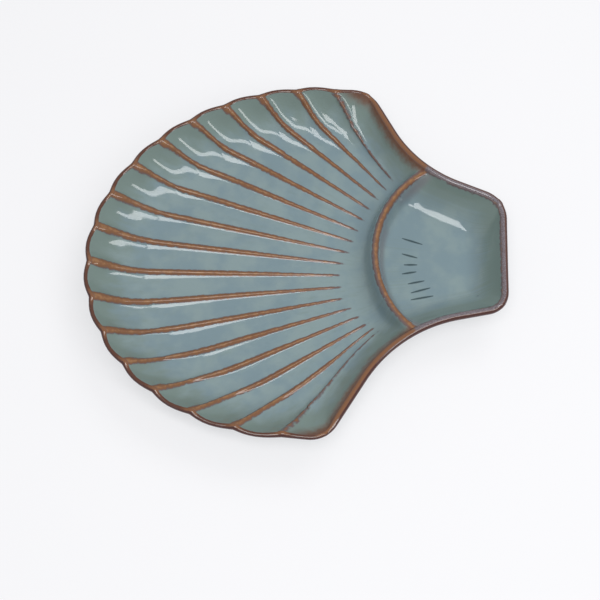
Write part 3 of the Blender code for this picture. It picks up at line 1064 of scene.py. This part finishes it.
@dataclass(frozen=True)
class ReactiveGlaze:
    """Blue-grey glaze that goes greener and darker up the walls, partly its own tone and partly painted
    wall shade, and breaks rust-brown where it runs thin.

    A span holds the two values between which a smooth step goes from 0 to 1, in mm for a distance.
    A share is the most of a colour that is laid over the one below. A band is its middle and half
    its width.
    """

    flat: Bytes = (117, 137, 144)
    pale: Bytes = (128, 146, 148)
    # Green-grey laid on the walls: partly the glaze's tone, partly painted shade of the walls.
    wall_green_and_shade: Bytes = (114, 131, 126)
    rust: Bytes = (124, 86, 60)
    gold: Bytes = (150, 112, 76)
    russet: Bytes = (108, 68, 48)
    plum: Bytes = (98, 86, 88)
    umber: Bytes = (72, 42, 38)
    ash: Bytes = (124, 118, 124)
    ink: Bytes = (36, 54, 58)
    clay: Bytes = (188, 168, 142)
    roughness: float = 0.07
    clay_roughness: float = 0.75

    mottle_span: Span = (0.35, 0.65)
    streak_per_mm: float = 0.02
    wall_green_and_shade_by_noise: float = 0.6
    wall_green_and_shade_by_streak: float = 0.9
    wall_green_and_shade_span: Span = (0.0, 0.7)
    # Greyer band along the divider: partly ash tint of the glaze, partly painted shade at the divider's
    # foot.
    ash_and_shade_band_mm: Span = (-4.5, 4.5)
    ash_and_shade_noise_span: Span = (0.3, 0.6)
    ash_and_shade_span: Span = (0.0, 0.9)
    ash_and_shade_share: float = 0.6

    rib_half_mm: float = 1.25
    rib_gain_mm: float = 1.6
    rib_gain_span: Span = (-4.0, 95.0)
    rib_start_span: Span = (-4.0, 9.0)
    outer_rib_span: Span = (7.4, 7.7)
    outer_rib_loss: float = 0.6
    divider_band_mm: Span = (-0.5, 3.0)
    rim_band_mm: Span = (0.6, 3.1)
    grip_band_mm: Span = (0.9, 5.2)
    fray: float = 0.9
    fray_span: Span = (0.0, 0.2)

    rib_plum_span: Span = (0.02, 0.34)
    rib_rust_span: Span = (0.22, 0.55)
    young_span: Span = (85.0, 10.0)
    young_by_noise: float = 60.0
    young_share: float = 0.75
    gold_span: Span = (0.6, 1.0)
    gold_noise_span: Span = (0.4, 0.6)
    gold_share: float = 0.7

    speck_span: Span = (0.42, 0.6)
    grip_rust_span: Span = (-0.2, -1.2)
    grip_gold_span: Span = (2.8, 3.6)
    bay_by_noise: float = 0.6
    bay_span: Span = (0.35, 1.1)
    bay_share: float = 0.75
    lip_plum_span: Span = (0.02, 0.3)
    lip_rust_span: Span = (0.28, 0.6)
    outside_span: Span = (-0.3, -1.4)
    outside_end_span: Span = (-9.0, -4.0)

    side_span: Span = (8.0, 8.7)
    side_edge_span: Span = (17.0, 7.0)
    side_by_noise: float = 6.0
    side_share: float = 0.92

    stroke_half_mm: float = 1.25
    stroke_share: float = 0.95
    stroke_depth: float = 0.00004
    broad_relief: float = 0.0005
    fine_relief: float = 0.00005
    foot_span: Span = (1.4, 1.6)
    bare_span: Span = (0.0014, 0.0010)

    def body(self, ground: Ground) -> Socket:
        """Colour of the whole glaze: mottled; greener and darker with the wall's rise, partly glaze tone
        and partly painted wall shade; greyer along the divider, partly ash tint and partly painted shade at
        its foot.

        Args:
            ground: Shared values.

        Returns:
            The colour.
        """
        graph = ground.graph
        flow = graph.fed(graph.node("ShaderNodeCombineXYZ"), ground.column,
                         graph.times(ground.tip, self.streak_per_mm)).outputs[0]
        streak, mottle = graph.noise(flow, Noise.STREAK), graph.noise(ground.place, Noise.MOTTLE)
        colour = graph.blend(graph.step(mottle, self.mottle_span), srgb(*self.flat), srgb(*self.pale))
        # Walls are laid greener and darker as they rise: partly glaze tone, partly painted shade and dark
        # reflection on the walls.
        depth = graph.math("ADD", graph.line(ground.broad, self.wall_green_and_shade_by_noise, -self.wall_green_and_shade_by_noise / 2),
                           graph.line(streak, self.wall_green_and_shade_by_streak, -self.wall_green_and_shade_by_streak / 2))
        depth = graph.step(graph.math("ADD", graph.attribute("level"), depth), self.wall_green_and_shade_span)
        colour = graph.blend(depth, colour, srgb(*self.wall_green_and_shade))
        # Greyer, darker band along the divider: partly ash tint, partly painted shade in the groove at its
        # foot.
        ash_and_shade = graph.times(graph.band(ground.away, *self.ash_and_shade_band_mm),
                           graph.step(ground.broad, self.ash_and_shade_noise_span))
        ash_and_shade = graph.times(graph.step(ash_and_shade, self.ash_and_shade_span), ground.top, self.ash_and_shade_share)
        return graph.blend(ash_and_shade, colour, srgb(*self.ash))

    def breaks(self, ground: Ground) -> tuple[Socket, Socket]:
        """How thin the glaze has run: 0 where it is whole and 1 on a crest.

        On a rib it is 1 - offset / half-width, where the half-width grows from the tip outwards, and
        less on the outermost ribs; on the divider 1 - distance / half-width; on the lip it peaks at
        the crest. Noise frays all three.

        Args:
            ground: Shared values.

        Returns:
            The value for ribs and divider, and the one for the lip.
        """
        graph = ground.graph
        half = graph.line(graph.step(ground.tip, self.rib_gain_span), self.rib_gain_mm, self.rib_half_mm)
        ridge = graph.math("SUBTRACT", 1.0, graph.math("DIVIDE", graph.attribute("rib"), half))
        outer = graph.step(ground.off_middle, self.outer_rib_span)
        ridge = graph.times(ridge, graph.step(ground.tip, self.rib_start_span),
                            graph.line(outer, -self.outer_rib_loss, 1.0), ground.fan)
        crest = graph.band(ground.away, *self.divider_band_mm)
        fray = graph.times(graph.math("SUBTRACT", ground.grain, 0.5), self.fray)
        raised = graph.times(graph.math("MAXIMUM", ridge, crest), ground.top)
        raised = graph.line(fray, graph.step(raised, self.fray_span), raised)
        rim, grip = graph.band(ground.edge, *self.rim_band_mm), graph.band(ground.edge, *self.grip_band_mm)
        lip = graph.math("ADD", graph.line(ground.fan, graph.math("SUBTRACT", rim, grip), grip), fray)
        return raised, lip

    def over_ribs(self, ground: Ground, colour: Socket, raised: Socket) -> Socket:
        """Lay plum, rust and gold over the ribs and the divider; the ribs' young ends stay plum.

        Args:
            ground: Shared values.
            colour: Colour below.
            raised: How thin the glaze is there.

        Returns:
            The colour.
        """
        graph = ground.graph
        young = graph.step(graph.line(ground.broad, self.young_by_noise, ground.tip), self.young_span)
        young = graph.times(young, ground.fan, self.young_share)
        warm = graph.blend(young, srgb(*self.rust), srgb(*self.plum))
        colour = graph.blend(graph.step(raised, self.rib_plum_span), colour, srgb(*self.plum))
        colour = graph.blend(graph.step(raised, self.rib_rust_span), colour, warm)
        bright = graph.times(graph.step(raised, self.gold_span),
                             graph.step(ground.grain, self.gold_noise_span), self.gold_share)
        return graph.blend(bright, colour, srgb(*self.gold))

    def over_sides(self, ground: Ground, colour: Socket) -> Socket:
        """Wash russet down the outermost flutes from the lip.

        Args:
            ground: Shared values.
            colour: Colour below.

        Returns:
            The colour.
        """
        graph = ground.graph
        near = graph.step(graph.line(ground.grain, self.side_by_noise, ground.edge), self.side_edge_span)
        wash = graph.times(graph.step(ground.off_middle, self.side_span), ground.fan, ground.top, near)
        return graph.blend(graph.times(wash, self.side_share), colour, srgb(*self.russet))

    def over_lip(self, ground: Ground, colour: Socket, lip: Socket) -> Socket:
        """Lay the lip's colours: rust and umber round the fan, speckled ash and gold round the grip.

        The rim is umber in its bays and rust at its notches, by |sin(pi * column)|. Outside the lip
        runs a band of umber.

        Args:
            ground: Shared values.
            colour: Colour below.
            lip: How thin the glaze is there.

        Returns:
            The colour.
        """
        graph, edge = ground.graph, ground.edge
        speck = graph.step(graph.noise(ground.place, Noise.SPECK), self.speck_span)
        grip = graph.blend(speck, srgb(*self.ash), srgb(*self.plum))
        grip = graph.blend(graph.step(edge, self.grip_rust_span), grip, srgb(*self.rust))
        inner = graph.times(graph.step(edge, self.grip_gold_span),
                            graph.step(ground.broad, self.gold_noise_span), self.gold_share)
        grip = graph.blend(inner, grip, srgb(*self.gold))
        bay = graph.math("ABSOLUTE", graph.math("SINE", graph.times(ground.column, np.pi)))
        bay = graph.step(graph.line(ground.grain, self.bay_by_noise, bay), self.bay_span)
        rim = graph.blend(graph.times(bay, self.bay_share), srgb(*self.rust), srgb(*self.umber))
        colour = graph.blend(graph.step(lip, self.lip_plum_span), colour, srgb(*self.plum))
        band = graph.blend(ground.fan, grip, rim)
        colour = graph.blend(graph.step(lip, self.lip_rust_span), colour, band)
        outside = graph.times(graph.step(edge, self.outside_span), graph.step(edge, self.outside_end_span))
        return graph.blend(outside, colour, srgb(*self.umber))

    def strokes(self, ground: Ground) -> Socket:
        """The engraved strokes, from the distance of the nearest one.

        Args:
            ground: Shared values.

        Returns:
            1 in the middle of a stroke and 0 beside it.
        """
        graph = ground.graph
        flat = graph.vector("MULTIPLY", ground.place, (1.0, 1.0, 0.0)).outputs[0]
        nearest = STROKES[0].gap(graph, flat)
        for stroke in STROKES[1:]:
            nearest = graph.math("MINIMUM", nearest, stroke.gap(graph, flat))
        return graph.times(graph.step(nearest, (self.stroke_half_mm, 0.0)), ground.top)

    def surface(self, ground: Ground, stroke: Socket) -> Socket:
        """Normal of the glaze: a broad and a fine ripple, less the strokes' depth.

        Args:
            ground: Shared values.
            stroke: 1 in the middle of an engraved stroke.

        Returns:
            The normal.
        """
        graph = ground.graph
        ripple = graph.math("ADD", graph.times(ground.broad, self.broad_relief),
                            graph.times(graph.noise(ground.place, Noise.RIPPLE), self.fine_relief))
        bump = graph.node("ShaderNodeBump")
        for name, value in (("Distance", 1.0), ("Strength", 1.0),
                            ("Height", graph.line(stroke, -self.stroke_depth, ripple))):
            graph.feed(bump.inputs[name], value)
        return bump.outputs[0]

    def material(self) -> bpy.types.Material:
        """The finish as a material.

        The colours are laid in this order: the body, the ribs and the divider, the wash down the
        sides, the lip, ink in the strokes, and bare clay under the foot, which alone is rough.

        Returns:
            The material.
        """
        material = bpy.data.materials.new("reactive_glaze")
        graph = Graph(material)
        ground = Ground(graph)
        raised, lip = self.breaks(ground)
        colour = self.over_ribs(ground, self.body(ground), raised)
        colour = self.over_lip(ground, self.over_sides(ground, colour), lip)
        stroke = self.strokes(ground)
        colour = graph.blend(graph.times(stroke, self.stroke_share), colour, srgb(*self.ink))
        bare = graph.times(graph.step(ground.layer, self.foot_span),
                           graph.step(ground.height, self.bare_span))
        rough = graph.line(bare, self.clay_roughness - self.roughness, self.roughness)
        shader = graph.node("ShaderNodeBsdfPrincipled")
        for name, value in (("Base Color", graph.blend(bare, colour, srgb(*self.clay))),
                            ("Roughness", rough), ("Normal", self.surface(ground, stroke))):
            graph.feed(shader.inputs[name], value)
        graph.fed(graph.node("ShaderNodeOutputMaterial"), shader.outputs[0])
        return material


@dataclass(frozen=True)
class SoftBox:
    """A rectangular soft light that faces the platter, its length along a plan direction.

    One that isn't mirrored lights the glaze but isn't seen in it.
    """

    name: str
    place: tuple[float, float, float]
    length: float
    width: float
    turn: float
    power: float
    mirrored: bool = True

    def add(self) -> bpy.types.Object:
        """Add the light, turned so that it faces the origin.

        Returns:
            The light's object.
        """
        light = bpy.data.lights.new(self.name, "AREA")
        light.shape = "RECTANGLE"
        light.size, light.size_y = self.length, self.width
        light.energy = self.power
        item = bpy.data.objects.new(self.name, light)
        item.location = self.place
        item.visible_glossy = self.mirrored
        back = Vector(self.place).normalized()
        turn = np.radians(self.turn)
        side = Vector((np.cos(turn), np.sin(turn), 0.0))
        side = (side - back * back.dot(side)).normalized()
        item.rotation_euler = Matrix((side, back.cross(side), back)).transposed().to_euler()
        bpy.context.scene.collection.objects.link(item)
        return item


@dataclass(frozen=True)
class Studio:
    """A pale floor, soft lights and the camera."""

    floor_size: float = 6.0
    floor: Bytes = (238, 238, 240)
    floor_evenness: float = 0.6
    surround: Bytes = (247, 247, 249)
    fill: float = 0.46
    boxes: tuple[SoftBox, ...] = (
        SoftBox("over", (-0.13, -0.325, 1.30), length=0.46, width=0.65, turn=0.0, power=6.5),
        SoftBox("window", (0.58, -0.40, 1.08), length=1.15, width=0.22, turn=-28.0, power=5.2),
        SoftBox("back", (0.60, 0.80, 1.10), length=0.90, width=0.60, turn=-37.0, power=4.8, mirrored=False),
    )
    camera_target: Pair = (0.00207, -0.02319)
    camera_distance: float = 0.90
    camera_tilt: float = 20.0
    lens_mm: float = 76.5

    def build(self) -> None:
        """Add the floor, the lights, the world and the camera, and set the view."""
        scene = bpy.context.scene
        self.add_floor()
        for box in self.boxes:
            box.add()
        self.add_world(scene)
        scene.camera = self.add_camera()
        scene.view_settings.view_transform = "Standard"

    def add_camera(self) -> bpy.types.Object:
        """Add the camera, at target + distance * (0, -sin(tilt), cos(tilt)).

        Returns:
            The camera.
        """
        data = bpy.data.cameras.new("camera")
        data.lens = self.lens_mm
        camera = bpy.data.objects.new("camera", data)
        tilt = float(np.radians(self.camera_tilt))
        back = Vector((0.0, -np.sin(tilt), np.cos(tilt)))
        camera.location = Vector((*self.camera_target, 0.0)) + back * self.camera_distance
        camera.rotation_euler = (tilt, 0.0, 0.0)
        bpy.context.scene.collection.objects.link(camera)
        return camera

    def add_floor(self) -> bpy.types.Object:
        """Add the floor, a square at z = 0 that the camera sees partly as the plain surround.

        Returns:
            The floor.
        """
        half = self.floor_size / 2
        mesh = bpy.data.meshes.new("floor")
        corners = [(-half, -half, 0.0), (half, -half, 0.0), (half, half, 0.0), (-half, half, 0.0)]
        mesh.from_pydata(corners, [], [(0, 1, 2, 3)])
        material = bpy.data.materials.new("floor")
        graph = Graph(material)
        matt = graph.node("ShaderNodeBsdfDiffuse")
        matt.inputs["Color"].default_value = srgb(*self.floor)
        plain = graph.node("ShaderNodeEmission")
        plain.inputs["Color"].default_value = srgb(*self.surround)
        seen = graph.node("ShaderNodeLightPath").outputs["Is Camera Ray"]
        mixed = graph.fed(graph.node("ShaderNodeMixShader"), graph.times(seen, self.floor_evenness),
                          matt.outputs[0], plain.outputs[0])
        graph.fed(graph.node("ShaderNodeOutputMaterial"), mixed.outputs[0])
        mesh.materials.append(material)
        floor = bpy.data.objects.new("floor", mesh)
        bpy.context.scene.collection.objects.link(floor)
        return floor

    def add_world(self, scene: bpy.types.Scene) -> None:
        """Add surroundings that the camera sees as the pale backdrop and that light the scene evenly.

        Args:
            scene: Scene that they belong to.
        """
        world = bpy.data.worlds.new("studio")
        world.use_nodes = True
        scene.world = world
        tree = world.node_tree
        backdrop = tree.nodes["Background"]
        seen = tree.nodes.new("ShaderNodeLightPath")
        strength = tree.nodes.new("ShaderNodeMix")
        strength.inputs["A"].default_value = self.fill
        strength.inputs["B"].default_value = 1.0
        tree.links.new(seen.outputs["Is Camera Ray"], strength.inputs["Factor"])
        backdrop.inputs["Color"].default_value = srgb(*self.surround)
        tree.links.new(strength.outputs["Result"], backdrop.inputs["Strength"])


def main() -> None:
    """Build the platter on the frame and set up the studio."""
    logging.basicConfig(level=logging.INFO)
    piece = Shell().piece(ReactiveGlaze().material())
    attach(piece, "root")
    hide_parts("platter")
    Studio().build()


if __name__ == "__main__":
    main()
